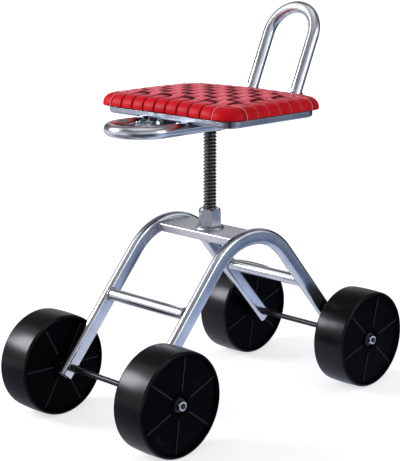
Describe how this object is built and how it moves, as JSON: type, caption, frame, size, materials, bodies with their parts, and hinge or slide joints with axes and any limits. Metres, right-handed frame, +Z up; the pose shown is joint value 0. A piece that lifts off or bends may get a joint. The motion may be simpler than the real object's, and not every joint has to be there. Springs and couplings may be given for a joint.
{
  "type": "rolling garden seat",
  "caption": "Low rolling work seat: woven-strap seat with backrest hoop on a lifting screw, carried by two bent-tube arches on wide black wheels.",
  "frame": {"origin": "on the floor under the axis of the lifting screw, midway between the wheels", "axes": "+Z up, -Y to the front loop, +Y to the backrest, +X to the sitter's left as they face the front"},
  "size_m": [0.3664, 0.673, 0.701],
  "materials": {
    "zinc_tube": "bright zinc-plated tube with soft blue-grey reflections",
    "zinc_nut": "galvanised, slightly dull",
    "weld": "plated weld bead",
    "black_steel": "black oxide, satin",
    "screw_steel": "black oiled thread",
    "bright_hardware": "bright zinc plate",
    "plate_steel": "grey plated sheet",
    "pan_steel": "blue-grey sheet steel",
    "wheel_plastic": "semi-gloss black moulded plastic",
    "bush_plastic": "dark nylon",
    "seat_strap": "red coated woven straps over a padded core"
  },
  "bodies": {
    "base": {"left_arch": "zinc_tube", "right_arch": "zinc_tube", "bridge_tube": "zinc_tube", "lift_nut": "zinc_nut", "nut_weld": "weld", "front_cross_tube": "zinc_tube", "rear_cross_tube": "zinc_tube", "front_axle": "black_steel", "rear_axle": "black_steel", "axle_collars": "black_steel", "hub_spacers": "bright_hardware", "wheel_washers": "bright_hardware", "wheel_nuts": "bright_hardware"},
    "front_left_wheel": {"wheel_front_left": "wheel_plastic", "bush_front_left": "bush_plastic"},
    "front_right_wheel": {"wheel_front_right": "wheel_plastic", "bush_front_right": "bush_plastic"},
    "rear_left_wheel": {"wheel_rear_left": "wheel_plastic", "bush_rear_left": "bush_plastic"},
    "rear_right_wheel": {"wheel_rear_right": "wheel_plastic", "bush_rear_right": "bush_plastic"},
    "lift_stop": {"stop_washer": "bright_hardware"},
    "seat": {"lift_screw": "screw_steel", "stop_bolt": "bright_hardware", "screw_flange": "black_steel", "mount_plate": "plate_steel", "rail_lugs": "plate_steel", "plate_bolts": "bright_hardware", "plate_nuts": "bright_hardware", "seat_rail": "zinc_tube", "hoop_spigots": "bright_hardware", "backrest_hoop": "zinc_tube", "backrest_bolts": "bright_hardware", "backrest_nuts": "bright_hardware", "seat_pan": "pan_steel", "seat_clips": "bright_hardware", "seat_studs": "bright_hardware", "stud_jam_nuts": "bright_hardware", "stud_lock_nuts": "bright_hardware", "seat_cushion": "seat_strap"}
  },
  "joints": [
    {"name": "front_left_roll", "type": "hinge", "parent": "base", "child": "front_left_wheel", "pos_m": [-0.1455, -0.2465, 0.09], "axis": [1, 0, 0], "continuous": true},
    {"name": "front_right_roll", "type": "hinge", "parent": "base", "child": "front_right_wheel", "pos_m": [0.1455, -0.2465, 0.09], "axis": [1, 0, 0], "continuous": true},
    {"name": "rear_left_roll", "type": "hinge", "parent": "base", "child": "rear_left_wheel", "pos_m": [-0.1455, 0.2465, 0.09], "axis": [1, 0, 0], "continuous": true},
    {"name": "rear_right_roll", "type": "hinge", "parent": "base", "child": "rear_right_wheel", "pos_m": [0.1455, 0.2465, 0.09], "axis": [1, 0, 0], "continuous": true},
    {"name": "screw_lift", "type": "slide", "parent": "base", "child": "lift_stop", "axis": [0, 0, 1], "range_m": [-0.1201, 0.0001]},
    {"name": "seat_turn", "type": "hinge", "parent": "lift_stop", "child": "seat", "pos_m": [0, 0, 0.3], "axis": [0, 0, 1], "range_deg": [-7200, 0]}
  ],
  "couplings": [
    {"joint": "screw_lift", "follows": "seat_turn", "m_per_rad": 0.00095493}
  ]
}
